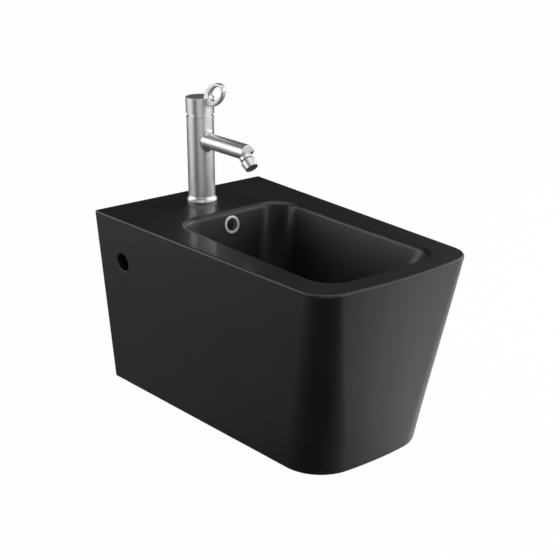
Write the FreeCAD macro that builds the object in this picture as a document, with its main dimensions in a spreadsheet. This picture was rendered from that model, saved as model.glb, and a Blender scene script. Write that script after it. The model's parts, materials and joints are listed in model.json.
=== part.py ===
import FreeCAD, Part
import math
import os
import Sketcher
from FreeCAD import Placement, Rotation, Vector

# Wall-hung bidet with a one-hole lever mixer, a click waste and side-access wall fixings.
# Millimetres, +Z up, +Y into the wall. The origin lies on the wall face, midway between
# the two wall bolts. The piece projects from the wall along -Y.

SIZES = {
    "every cut": {
        "cut_overrun": 5,
    },
    "ceramic body, outside": {
        "body_height": 319,
        "rim_above_bolts": 78,
        "top_half_width_at_wall": 177.8,
        "top_half_width_at_front": 153,
        "top_side_length": 560,
        "base_half_width_at_wall": 154,
        "base_half_width_at_front": 122,
        "base_side_length": 509,
        "front_bow": 12,
        "front_corner_top": 46,
        "front_corner_base": 73,
        "rim_edge_round": 3.5,
        "base_edge_round": 5,
    },
    "ceramic body, inside": {
        "shell_thickness": 10,
        "deck_thickness": 16,
        "back_plate": 13,
        "floor_opening_half_width": 112,
        "floor_opening_depth": 300,
        "back_opening_half_width": 60,
        "back_opening_top": 44,
    },
    "basin": {
        "basin_half_width": 112.5,
        "basin_back": 146,
        "basin_front": 526,
        "basin_bow": 5,
        "basin_corner": 46,
        "basin_depth": 146,
        "floor_half_width": 80,
        "floor_back": 172,
        "floor_front": 454,
        "floor_bow": 4,
        "floor_corner": 50,
        "floor_rise": 14,
        "floor_round": 32,
        "lip_round": 10,
        "bowl_thickness": 10,
    },
    "waste hole and overflow duct": {
        "waste_from_wall": 235,
        "waste_hole_radius": 23,
        "waste_seat_radius": 34,
        "waste_seat_depth": 146,
        "waste_boss_radius": 38,
        "waste_boss_height": 40,
        "duct_half_width": 18,
        "duct_wall": 9,
        "duct_gap": 15,
        "duct_above_overflow": 16,
        "duct_passage_height": 12,
        "duct_ring_radius": 29,
    },
    "overflow ring": {
        "overflow_below_rim": 24.4,
        "overflow_flange_radius": 15.5,
        "overflow_flange_thickness": 1.6,
        "overflow_sleeve_radius": 12,
        "overflow_sleeve_wall": 1.2,
        "overflow_sleeve_length": 8,
        "overflow_fit": 0.3,
    },
    "wall fixing": {
        "bolt_from_middle": 90,
        "lug_half_width": 24,
        "lug_half_height": 24,
        "lug_depth": 96,
        "anchor_from_wall": 67,
        "anchor_radius": 10.5,
        "anchor_beyond_screw": 23,
        "anchor_bore_radius": 6.2,
        "liner_wall": 1.6,
        "liner_length": 52,
        "fixing_gap": 0.3,
        "access_radius": 15.6,
        "access_floor_from_bolt": 27,
        "access_mouth_round": 1.6,
        "fixing_screw_radius": 3.9,
        "fixing_screw_head_radius": 6.4,
        "fixing_screw_head": 6,
        "fixing_screw_tip_gap": 0.6,
        "fixing_washer_radius": 11,
        "fixing_washer_thickness": 2,
        "hex_socket_radius": 2.9,
        "hex_socket_depth": 4,
    },
    "waste fitting": {
        "shank_radius": 20.95,
        "shank_bore_radius": 18.6,
        "shank_length": 62,
        "tail_radius": 16,
        "tail_bore_radius": 14.5,
        "tail_length": 30,
        "tail_funnel": 3,
        "waste_flange_radius": 31.5,
        "waste_flange_thickness": 3,
        "waste_throat_radius": 21.5,
        "gasket_thickness": 1.2,
        "slot_top": 17,
        "slot_height": 14,
        "slot_width": 13,
        "spider_depth": 14,
        "spider_thickness": 5,
        "spider_arm_width": 3.2,
        "spider_ring_radius": 8.4,
        "latch_radius": 5.6,
        "latch_length": 34,
        "latch_rise": 1.5,
        "latch_fit": 0.1,
        "plug_stem_radius": 2.6,
        "plug_travel": 7,
        "plug_radius": 30.5,
        "plug_edge_thickness": 3.2,
        "plug_crown": 2.6,
        "plug_seal_outer": 28.5,
        "plug_seal_inner": 24.5,
        "plug_seal_thickness": 1.6,
        "plug_gap": 0.3,
        "boss_seal_height": 9,
        "boss_seal_radius": 33,
        "boss_seal_tip_radius": 27,
        "slip_washer_radius": 30,
        "slip_washer_thickness": 1.5,
        "waste_nut_radius": 31,
        "waste_nut_height": 9,
        "waste_fit": 0.1,
    },
    "tap column": {
        "tap_from_wall": 64,
        "tap_hole_radius": 17.5,
        "tap_foot_radius": 26.6,
        "tap_foot_band": 3,
        "tap_flare_height": 14,
        "tap_flare_round": 12,
        "column_radius": 23.5,
        "tap_spigot_radius": 15.5,
        "tap_spigot_length": 8,
        "foot_gasket_thickness": 0.8,
        "foot_gasket_inner_radius": 18.5,
        "foot_gasket_overhang": 0.3,
        "inlet_radius": 5,
        "inlet_depth": 16,
        "inlet_offset_x": 8.2,
        "inlet_offset_y": 4,
        "channel_radius": 3.6,
        "port_depth": 6,
        "stud_offset": 9.6,
        "stud_radius": 3.95,
        "stud_fit": 0.05,
        "stud_depth": 14,
        "stud_length": 86,
        "chamber_radius": 18.2,
        "chamber_floor_above_spout_bore": 2,
        "chamber_thread_radius": 20.7,
        "chamber_thread_depth": 8,
    },
    "tap fixing under the deck": {
        "horseshoe_radius": 26,
        "horseshoe_slot_half_width": 14,
        "horseshoe_pad_thickness": 3,
        "horseshoe_plate_thickness": 2,
        "horseshoe_fit": 0.3,
        "stud_nut_radius": 7.5,
        "stud_nut_height": 16,
    },
    "spout": {
        "spout_height": 110,
        "spout_radius": 13.4,
        "spout_bore_radius": 9,
        "spout_root_round": 7,
        "seam_from_axis": 76,
        "seam_chamfer": 0.5,
        "nozzle_length": 58,
        "nozzle_bore_radius": 6.8,
        "nozzle_end_wall": 4,
        "nozzle_end_round": 1,
        "tenon_length": 13,
        "tenon_fit": 0.15,
        "spout_seal_section": 0.7,
        "spout_seal_fit": 0.05,
        "spout_seal_from_end": 4,
        "spout_seal_land": 0.9,
        "swivel_angle": 41.4,
        "swivel_from_end": 16,
        "spout_face_offset": 11.3,
    },
    "swivel aerator": {
        "socket_thread_radius": 8,
        "socket_thread_length": 7.5,
        "socket_fit": 0.05,
        "collar_radius": 10.7,
        "collar_length": 6.7,
        "collar_edge_round": 0.8,
        "neck_radius": 5.2,
        "ball_radius": 8.3,
        "ball_from_collar": 7,
        "ball_flat": 5.8,
        "ball_bore_radius": 3.4,
        "seat_clearance": 0.08,
        "seat_thickness": 1.2,
        "seat_above_centre": 2.3,
        "seat_below_centre": 2.6,
        "socket_above_centre": 3.5,
        "socket_below_centre": 4,
        "housing_lip_radius": 7.9,
        "housing_lip_above_centre": 5.2,
        "housing_lip_land": 1.6,
        "housing_radius": 12.5,
        "housing_shoulder_above_centre": 3.5,
        "housing_mouth_radius": 11,
        "housing_length_below_centre": 10.5,
        "housing_mouth_round": 1,
        "insert_radius": 8.9,
        "insert_gap": 0.15,
        "insert_thickness": 4.2,
        "insert_recess": 1,
        "insert_hole_radius": 1.1,
        "insert_hole_circle": 5.6,
        "insert_floor": 1.2,
        "insert_rim": 1.2,
        "aerator_seal_thickness": 1,
        "aerator_seal_width": 1.4,
    },
    "cartridge": {
        "cartridge_radius": 17.5,
        "cartridge_height": 22,
        "port_seal_section": 0.8,
        "port_seal_radius": 4.9,
        "port_outlet_offset": 8,
        "cartridge_neck_radius": 13,
        "cartridge_neck_height": 3,
        "turret_radius": 9,
        "turret_fit": 0.1,
        "turret_depth": 7,
        "turret_above_neck": 7,
        "turret_floor": 3,
        "stem_width": 8,
        "stem_depth": 7,
        "stem_fit": 0.3,
        "stem_below_pivot": 7,
        "stem_above_pivot": 26,
        "pin_radius": 1.5,
        "pin_fit": 0.05,
        "pivot_above_neck": 4.4,
        "nut_radius": 20.6,
        "nut_height": 4.6,
        "nut_overlap_fit": 0.2,
        "nut_neck_gap": 0.4,
        "nut_slot_width": 4,
        "nut_slot_depth": 2,
        "column_above_nut": 0.6,
    },
    "handle": {
        "dome_radius": 21.6,
        "dome_thickness": 1.6,
        "dome_top_above_pivot": 10,
        "cap_radius": 24.4,
        "cap_bore_radius": 22.3,
        "cap_above_pivot": 3,
        "cap_height": 28,
        "cap_roof": 5,
        "cap_edge_round": 1.2,
        "cap_rear_relief_angle": 10,
        "boss_radius": 9,
        "boss_above_cap_foot": 6,
        "stem_grip_fit": 0.05,
        "loop_half_length": 30.5,
        "loop_half_height": 17,
        "loop_hole_half_length": 19,
        "loop_hole_half_height": 10.3,
        "loop_hole_shift": 5.5,
        "loop_thickness": 9,
        "loop_rise_angle": 31,
        "loop_centre_forward": 43.9,
        "loop_centre_above_cap": 8.8,
        "loop_edge_round": 2,
        "grub_above_boss_foot": 7,
        "grub_radius": 2.4,
        "grub_length": 9,
        "grub_fit": 0.05,
        "grub_access_radius": 3,
        "cover_radius": 2.95,
        "cover_length": 3,
        "cover_proud": 0.4,
    },
}

# Two places closer than this are the same place when edges are picked
TOUCH = 0.001

# Counts
WASTE_SLOTS = 4
SPIDER_ARMS = 4
INSERT_HOLES = 6

doc = FreeCAD.newDocument("Bidet")
sheet = doc.addObject("Spreadsheet::Sheet", "Sizes")


class Size:
    # A length or angle that carries its number and the formula that leads back to the sheet.
    def __init__(self, number, formula):
        self.number = number
        self.formula = formula

    def __add__(self, other):
        return joined(self, "+", other)

    def __radd__(self, other):
        return joined(other, "+", self)

    def __sub__(self, other):
        return joined(self, "-", other)

    def __rsub__(self, other):
        return joined(other, "-", self)

    def __mul__(self, other):
        return joined(self, "*", other)

    def __rmul__(self, other):
        return joined(other, "*", self)

    def __truediv__(self, other):
        return joined(self, "/", other)

    def __neg__(self):
        return joined(0, "-", self)


def number(value):
    return value.number if isinstance(value, Size) else value


def formula(value):
    return value.formula if isinstance(value, Size) else repr(value)


def joined(left, sign, right):
    a, b = number(left), number(right)
    result = {"+": a + b, "-": a - b, "*": a * b, "/": a / b if b else 0}[sign]
    return Size(result, "(%s %s %s)" % (formula(left), sign, formula(right)))


class Named:
    pass


def fill_sheet():
    row = 0
    for heading, values in SIZES.items():
        row += 1
        sheet.set("A%d" % row, heading)
        for name, value in values.items():
            row += 1
            sheet.set("A%d" % row, name)
            sheet.set("B%d" % row, str(value))
            sheet.setAlias("B%d" % row, name)
    doc.recompute()


def named_sizes():
    names = Named()
    for values in SIZES.values():
        for name in values:
            setattr(names, name, Size(float(sheet.get(name)), "Sizes." + name))
    return names


fill_sheet()
s = named_sizes()


# Shared ways of making a piece

def bind(thing, path, value):
    if isinstance(value, Size):
        thing.setExpression(path, value.formula)


def put(thing, at=(0, 0, 0), turn=None):
    thing.Placement = Placement(Vector(*[number(c) for c in at]), turn or Rotation())
    for letter, value in zip("xyz", at):
        bind(thing, "Placement.Base." + letter, value)
    return thing


def origin_plane(body, role):
    return [part for part in body.Origin.OriginFeatures if part.Role == role][0]


def drawing(body, name, role, outline):
    # Each corner is (x, y), or (x, y, radius, side) where an arc leads to the next corner:
    # side is 1 where it bulges to the left of the way to go and -1 to the right.
    sketch = body.newObject("Sketcher::SketchObject", name)
    sketch.AttachmentSupport = [(origin_plane(body, role), "")]
    sketch.MapMode = "FlatFace"
    ends = []
    for place, corner in enumerate(outline):
        following = outline[(place + 1) % len(outline)]
        start = Vector(number(corner[0]), number(corner[1]), 0)
        stop = Vector(number(following[0]), number(following[1]), 0)
        if len(corner) == 2:
            edge = sketch.addGeometry(Part.LineSegment(start, stop), False)
            ends.append(((edge, 1), (edge, 2)))
            continue
        radius, side = number(corner[2]), corner[3]
        chord = stop - start
        across = Vector(-chord.y, chord.x, 0).normalize() * side
        rise = math.sqrt(max(radius ** 2 - (chord.Length / 2) ** 2, 0))
        centre = (start + stop) * 0.5 - across * rise
        first, last = (stop, start) if side > 0 else (start, stop)
        begin = math.atan2(first.y - centre.y, first.x - centre.x)
        finish = math.atan2(last.y - centre.y, last.x - centre.x)
        if finish <= begin:
            finish += 2 * math.pi
        circle = Part.Circle(centre, Vector(0, 0, 1), radius)
        edge = sketch.addGeometry(Part.ArcOfCircle(circle, begin, finish), False)
        ends.append(((edge, 2), (edge, 1)) if side > 0 else ((edge, 1), (edge, 2)))
        mark = sketch.addConstraint(Sketcher.Constraint("Radius", edge, radius))
        bind(sketch, "Constraints[%d]" % mark, corner[2])
    for place, corner in enumerate(outline):
        geometry, vertex = ends[place][0]
        before, last_vertex = ends[place - 1][1]
        sketch.addConstraint(
            Sketcher.Constraint("Coincident", before, last_vertex, geometry, vertex))
        for kind, axis, value in (("DistanceX", -2, corner[0]), ("DistanceY", -1, corner[1])):
            if number(value) == 0:
                sketch.addConstraint(
                    Sketcher.Constraint("PointOnObject", geometry, vertex, axis))
                continue
            mark = sketch.addConstraint(
                Sketcher.Constraint(kind, -1, 1, geometry, vertex, number(value)))
            bind(sketch, "Constraints[%d]" % mark, value)
    return sketch


def turned(label, outline, at=(0, 0, 0), turn=None):
    body = doc.addObject("PartDesign::Body", label)
    sketch = drawing(body, label + "_profile", "XZ_Plane", outline)
    revolve = body.newObject("PartDesign::Revolution", label + "_revolve")
    revolve.Profile = sketch
    revolve.ReferenceAxis = (sketch, ["V_Axis"])
    revolve.Angle = 360
    body.Tip = revolve
    return put(body, at, turn)


def ring(label, inner, outer, low, high, at=(0, 0, 0), turn=None):
    outline = [(inner, low), (outer, low), (outer, high), (inner, high)]
    return turned(label, outline, at, turn)


def rod(name, radius, length, at=(0, 0, 0), turn=None):
    thing = doc.addObject("Part::Cylinder", name)
    thing.Radius, thing.Height = number(radius), number(length)
    bind(thing, "Radius", radius)
    bind(thing, "Height", length)
    return put(thing, at, turn)


def block(name, low, high):
    thing = doc.addObject("Part::Box", name)
    for side, start, stop in zip(("Length", "Width", "Height"), low, high):
        setattr(thing, side, number(stop) - number(start))
        bind(thing, side, stop - start)
    return put(thing, low)


def hexagon(name, radius, height, at=(0, 0, 0), turn=None):
    thing = doc.addObject("Part::Prism", name)
    thing.Polygon = 6
    thing.Circumradius, thing.Height = number(radius), number(height)
    bind(thing, "Circumradius", radius)
    bind(thing, "Height", height)
    return put(thing, at, turn)


def torus(label, radius, section, at=(0, 0, 0), turn=None):
    thing = doc.addObject("Part::Torus", label)
    thing.Radius1, thing.Radius2 = number(radius), number(section)
    bind(thing, "Radius1", radius)
    bind(thing, "Radius2", section)
    return put(thing, at, turn)


def fused(label, things, refine=True):
    thing = doc.addObject("Part::MultiFuse", label)
    thing.Shapes = things
    thing.Refine = refine
    return thing


def cut(label, base, tools, refine=True):
    thing = doc.addObject("Part::Cut", label)
    thing.Base = base
    thing.Tool = tools[0] if len(tools) == 1 else fused(label + "_cuts", tools)
    thing.Refine = refine
    return thing


def mirrored_pair(label, thing):
    other = doc.addObject("Part::Mirroring", label + "_other_side")
    other.Source = thing
    other.Normal = Vector(1, 0, 0)
    both = doc.addObject("Part::Compound", label)
    both.Links = [thing, other]
    return both


def group(label, things):
    both = doc.addObject("Part::Compound", label)
    both.Links = things
    return both


def formed(label, shape):
    thing = doc.addObject("Part::Feature", label)
    thing.Shape = shape
    return thing


TO_FRONT = Rotation(Vector(1, 0, 0), 90)
TO_RIGHT = Rotation(Vector(0, 1, 0), 90)


# Ceramic body

def flared_block(top, base, front_rounds, back_rounds=None):
    # A block between two flat outlines, each with straight sides and a bowed front.
    # An outline is (half width at the back, half width at the front, back, front, bow,
    # height at the back, height at the front), with back and front measured from the wall.
    def wire(outline):
        wide, narrow, back, front, bow, z_back, z_front = outline
        slope = (z_front - z_back) / (front - back)
        if back == 0:
            back = -s.cut_overrun.number
            wide += s.cut_overrun.number * (wide - narrow) / front
        corners = [Vector(-wide, -back, z_back), Vector(wide, -back, z_back),
                   Vector(narrow, -front, z_front), Vector(-narrow, -front, z_front)]
        crown = Vector(0, -front - bow, z_front + slope * bow)
        return Part.Wire([Part.LineSegment(corners[0], corners[1]).toShape(),
                          Part.LineSegment(corners[1], corners[2]).toShape(),
                          Part.Arc(corners[2], crown, corners[3]).toShape(),
                          Part.LineSegment(corners[3], corners[0]).toShape()])

    solid = Part.makeLoft([wire(base), wire(top)], True, True)
    for outline_place, rounds in ((3, front_rounds), (2, back_rounds)):
        if rounds is None:
            continue
        top_round, base_round = rounds
        for side in (-1, 1):
            edge = upright_edge(solid, side, -base[outline_place])
            low_first = edge.firstVertex().Z < edge.lastVertex().Z
            first, last = (base_round, top_round) if low_first else (top_round, base_round)
            solid = solid.makeFillet(first, last, [edge])
    return solid


def past_wall_cut(solid):
    # The back is one flat face on the wall.
    width = s.top_half_width_at_wall.number + s.cut_overrun.number
    high = s.body_height.number + 2 * s.cut_overrun.number
    low = s.rim_above_bolts.number - high + s.cut_overrun.number
    return solid.cut(Part.makeBox(2 * width, 2 * s.cut_overrun.number, high,
                                  Vector(-width, 0, low)))


def lower_end(edge):
    return min(edge.Vertexes, key=lambda vertex: vertex.Z)


def upright_edge(solid, side, y):
    # The steep edge on one side whose lower end lies nearest to y.
    steep = [edge for edge in solid.Edges
             if edge.BoundBox.ZLength > max(edge.BoundBox.XLength, edge.BoundBox.YLength)
             and lower_end(edge).X * side > 0]
    return min(steep, key=lambda edge: abs(lower_end(edge).Y - y))


def edges_at(shape, height):
    # Edges that lie level at a height.
    return [edge for edge in shape.Edges
            if abs(edge.BoundBox.ZMin - height) < TOUCH
            and abs(edge.BoundBox.ZMax - height) < TOUCH]


def ceramic_form():
    rim = s.rim_above_bolts.number
    base = rim - s.body_height.number
    shell = s.shell_thickness.number

    def outside(inset, back):
        top = (s.top_half_width_at_wall.number - inset, s.top_half_width_at_front.number - inset,
               back, s.top_side_length.number - inset, s.front_bow.number, rim, rim)
        low = (s.base_half_width_at_wall.number - inset, s.base_half_width_at_front.number - inset,
               back, s.base_side_length.number - inset, s.front_bow.number, base, base)
        rounds = (s.front_corner_top.number - inset, s.front_corner_base.number - inset)
        return flared_block(top, low, rounds)

    def basin(grow):
        floor = rim - s.basin_depth.number - grow
        top = (s.basin_half_width.number + grow, s.basin_half_width.number + grow,
               s.basin_back.number - grow, s.basin_front.number + grow, s.basin_bow.number,
               rim, rim)
        low = (s.floor_half_width.number + grow, s.floor_half_width.number + grow,
               s.floor_back.number - grow, s.floor_front.number + grow, s.floor_bow.number,
               floor, floor + s.floor_rise.number)
        rounds = (s.basin_corner.number + grow, s.floor_corner.number + grow)
        solid = flared_block(top, low, rounds, rounds)
        floor_face = min(solid.Faces, key=lambda face: face.CenterOfMass.z)
        return solid.makeFillet(s.floor_round.number + grow, floor_face.Edges)

    outer = past_wall_cut(outside(0, 0))
    outer = outer.makeFillet(s.rim_edge_round.number, front_and_sides(outer, rim))
    outer = outer.makeFillet(s.base_edge_round.number, front_and_sides(outer, base))
    hollow = outside(shell, s.back_plate.number)
    width = s.top_half_width_at_wall.number
    room = Part.makeBox(2 * width, s.top_side_length.number + s.front_bow.number,
                        s.body_height.number - shell - s.deck_thickness.number,
                        Vector(-width, -s.top_side_length.number - s.front_bow.number,
                               base + shell))
    body = outer.cut(hollow.common(room))
    bowl = basin(s.bowl_thickness.number)
    body = body.fuse([bowl.common(outer)] + waste_boss() + overflow_walls() + lugs(outer))
    body = body.cut([basin(0)] + side_holes()).removeSplitter()
    lips = [edge for edge in edges_at(body, rim) if not_outer(edge)]
    body = body.makeFillet(s.lip_round.number, lips)
    return body.makeFillet(s.access_mouth_round.number, side_hole_mouths(body))


def side_holes():
    # The tunnels through which the fixing screws are reached.
    floor = (s.bolt_from_middle + s.access_floor_from_bolt).number
    return [Part.makeCylinder(s.access_radius.number, s.top_half_width_at_wall.number,
                              Vector(side * floor, -s.anchor_from_wall.number, 0),
                              Vector(side, 0, 0)) for side in (-1, 1)]


def side_hole_mouths(body):
    found = []
    for edge in body.Edges:
        span = edge.BoundBox
        floor = (s.bolt_from_middle + s.access_floor_from_bolt + s.access_mouth_round).number
        round_hole = abs(span.ZLength - 2 * s.access_radius.number) < s.access_mouth_round.number
        outside = min(abs(span.XMin), abs(span.XMax)) > floor
        near = abs(span.Center.y + s.anchor_from_wall.number) < s.access_mouth_round.number
        if round_hole and outside and near:
            found.append(edge)
    return found


def front_and_sides(solid, height):
    return [edge for edge in edges_at(solid, height) if edge.BoundBox.YMin < -TOUCH]


def not_outer(edge):
    # The basin's own mouth, which lies inside the rim on every side.
    span = edge.BoundBox
    middle = (s.basin_half_width + s.top_half_width_at_front).number / 2
    return (span.XMin > -middle and span.XMax < middle
            and span.YMin > -(s.basin_front + s.top_side_length).number / 2)


def waste_boss():
    top = (s.rim_above_bolts - s.waste_seat_depth).number
    centre = Vector(0, -s.waste_from_wall.number, top - s.waste_boss_height.number)
    return [Part.makeCylinder(s.waste_boss_radius.number, s.waste_boss_height.number, centre)]


def wall_lean():
    return math.atan2((s.floor_back - s.basin_back).number, s.basin_depth.number)


def duct_rear():
    # The rear face of the duct, so that its gap behind the bowl wall is duct_gap at the top.
    return (s.basin_back - s.bowl_thickness - s.duct_gap - s.duct_wall).number


def overflow_walls():
    # The walls of the overflow duct: down behind the basin and under its floor to the waste.
    half = (s.duct_half_width + s.duct_wall).number
    seat = (s.rim_above_bolts - s.waste_seat_depth).number
    low = seat - s.waste_boss_height.number
    high = (s.rim_above_bolts - s.deck_thickness / 2).number
    back = duct_rear()
    front = (s.floor_back + s.bowl_thickness).number
    upright = Part.makeBox(2 * half, front - back, high - low, Vector(-half, -front, low))
    floor_walls = Part.makeBox(2 * half, s.waste_from_wall.number - back, seat - low,
                               Vector(-half, -s.waste_from_wall.number, low))
    return [upright, floor_walls]


def lugs(outer):
    found = []
    for side in (-1, 1):
        inner = side * (s.bolt_from_middle - s.lug_half_width).number
        outer_x = side * s.top_half_width_at_wall.number
        lug = Part.makeBox(abs(outer_x - inner), s.lug_depth.number, 2 * s.lug_half_height.number,
                           Vector(min(inner, outer_x), -s.lug_depth.number,
                                  -s.lug_half_height.number))
        found.append(lug.common(outer))
    return found


def duct_void():
    # The water's way from the overflow ring down to the ring chamber round the waste.
    half = s.duct_half_width.number
    wall = s.duct_wall.number
    seat = (s.rim_above_bolts - s.waste_seat_depth).number
    low = seat - s.waste_boss_height.number + wall
    back = duct_rear() + wall
    overflow = (s.rim_above_bolts - s.overflow_below_rim).number
    high = overflow + s.duct_above_overflow.number
    gap = s.duct_gap.number
    rise = high - low
    shift = rise * math.tan(wall_lean())
    side = [Vector(-half, -back, low), Vector(-half, -back, high),
            Vector(-half, -back - gap, high), Vector(-half, -back - gap - shift, low)]
    face = Part.Face(Part.makePolygon(side + [side[0]]))
    upright = face.extrude(Vector(2 * half, 0, 0))
    passage = Part.makeBox(2 * half, s.waste_from_wall.number - back,
                           s.duct_passage_height.number,
                           Vector(-half, -s.waste_from_wall.number, low))
    chamber = Part.makeCylinder(s.duct_ring_radius.number, s.duct_passage_height.number,
                                Vector(0, -s.waste_from_wall.number, low))
    return formed("overflow_duct_space", upright.fuse([passage, chamber]).removeSplitter())


def overflow_place():
    down = s.overflow_below_rim.number
    return Vector(0, -s.basin_back.number - down * math.tan(wall_lean()),
                  s.rim_above_bolts.number - down)


def overflow_turn():
    # The ring faces square to the leaning back wall of the basin.
    return Rotation(Vector(1, 0, 0), 90 - math.degrees(wall_lean()))


def ceramic_body():
    form = formed("ceramic_form", ceramic_form())
    rim = s.rim_above_bolts
    base = rim - s.body_height
    seat = rim - s.waste_seat_depth
    tools = [
        block("floor_opening",
              (-s.floor_opening_half_width, -s.floor_opening_depth, base - s.cut_overrun),
              (s.floor_opening_half_width, -s.back_plate, base + s.shell_thickness)),
        block("back_opening", (-s.back_opening_half_width, -s.back_plate, base - s.cut_overrun),
              (s.back_opening_half_width, s.cut_overrun, s.back_opening_top)),
        rod("tap_hole", s.tap_hole_radius, s.deck_thickness + 2 * s.cut_overrun,
            (0, -s.tap_from_wall, rim - s.deck_thickness - s.cut_overrun)),
        rod("waste_hole", s.waste_hole_radius, s.waste_boss_height + 2 * s.cut_overrun,
            (0, -s.waste_from_wall, seat - s.waste_boss_height - s.cut_overrun)),
        rod("waste_recess", s.waste_seat_radius, s.floor_rise + s.cut_overrun,
            (0, -s.waste_from_wall, seat)),
        duct_void(),
        overflow_bore(),
    ]
    for side, name in ((-1, "left"), (1, "right")):
        x = side * s.bolt_from_middle
        tools.append(rod("anchor_hole_" + name, anchor_hole_radius(),
                         s.anchor_from_wall + s.anchor_beyond_screw + s.cut_overrun,
                         (x, s.cut_overrun, 0), TO_FRONT))
        turn = Rotation(Vector(0, 1, 0), 90 * side)
        tools.append(rod("screw_hole_" + name, s.fixing_screw_head_radius,
                         s.access_floor_from_bolt + s.cut_overrun, (x, -s.anchor_from_wall, 0), turn))
    return cut("ceramic_body", form, tools)


def overflow_bore():
    thing = doc.addObject("Part::Cylinder", "overflow_hole")
    radius = s.overflow_sleeve_radius + s.overflow_fit
    reach = s.bowl_thickness + s.cut_overrun
    thing.Radius, thing.Height = radius.number, (reach + s.cut_overrun).number
    bind(thing, "Radius", radius)
    bind(thing, "Height", reach + s.cut_overrun)
    turn = overflow_turn()
    start = overflow_place() - turn.multVec(Vector(0, 0, 1)) * reach.number
    thing.Placement = Placement(start, turn)
    return thing


def overflow_ring():
    proud, flange = s.overflow_flange_thickness, s.overflow_flange_radius
    sleeve = s.overflow_sleeve_radius
    bore = sleeve - s.overflow_sleeve_wall
    round_edge = proud / 2
    outline = [
        (bore, -s.overflow_sleeve_length),
        (sleeve, -s.overflow_sleeve_length),
        (sleeve, 0),
        (flange, 0),
        (flange, proud - round_edge, round_edge, -1),
        (flange - round_edge, proud),
        (bore + round_edge, proud, round_edge, -1),
        (bore, proud - round_edge),
    ]
    return turned("overflow_ring", outline, tuple(overflow_place()), overflow_turn())


# Wall fixings, one at each side

def anchor_hole_radius():
    return s.anchor_radius + s.liner_wall + 2 * s.fixing_gap


def wall_fixings():
    x = s.bolt_from_middle
    y = -s.anchor_from_wall
    turn = Rotation(Vector(0, 1, 0), 90)
    tunnel_floor = x + s.access_floor_from_bolt
    reach = s.anchor_from_wall + s.anchor_beyond_screw

    bar = ring("anchor_bar", s.anchor_bore_radius, s.anchor_radius, 0, reach, (x, 0, 0),
               TO_FRONT)
    thread = rod("anchor_cross_hole", s.fixing_screw_radius + s.stud_fit, s.anchor_radius * 2,
                 (x, y, 0), turn)
    anchor = cut("anchor_right", bar, [thread])

    inner = s.anchor_radius + s.fixing_gap
    sleeve = ring("liner_sleeve", inner, inner + s.liner_wall, 0, s.liner_length,
                  (x, s.liner_length - reach, 0), TO_FRONT)
    window = rod("liner_window", s.fixing_screw_head_radius, s.anchor_radius * 2, (x, y, 0), turn)
    liner = cut("liner_right", sleeve, [window])

    washer = ring("washer_right", s.fixing_screw_radius + s.fixing_gap, s.fixing_washer_radius,
                  0, s.fixing_washer_thickness, (tunnel_floor, y, 0), turn)

    shank, head = s.fixing_screw_radius, s.fixing_screw_head_radius
    tip = s.anchor_bore_radius + s.fixing_screw_tip_gap
    seat = s.access_floor_from_bolt + s.fixing_washer_thickness
    outline = [(0, tip), (shank, tip), (shank, seat), (head, seat),
               (head, seat + s.fixing_screw_head), (0, seat + s.fixing_screw_head)]
    blank = turned("screw_blank", outline, (x, y, 0), turn)
    socket = hexagon("screw_socket", s.hex_socket_radius, s.hex_socket_depth + s.cut_overrun,
                     (x + seat + s.fixing_screw_head - s.hex_socket_depth, y, 0), turn)
    screw = cut("screw_right", blank, [socket])
    return [mirrored_pair("fixing_anchor", anchor), mirrored_pair("fixing_liner", liner),
            mirrored_pair("fixing_washer", washer), mirrored_pair("fixing_screw", screw)]


# Waste fitting, measured up from its seat in the basin

def waste_spot(height=0):
    return (0, -s.waste_from_wall, s.rim_above_bolts - s.waste_seat_depth + height)


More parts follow.
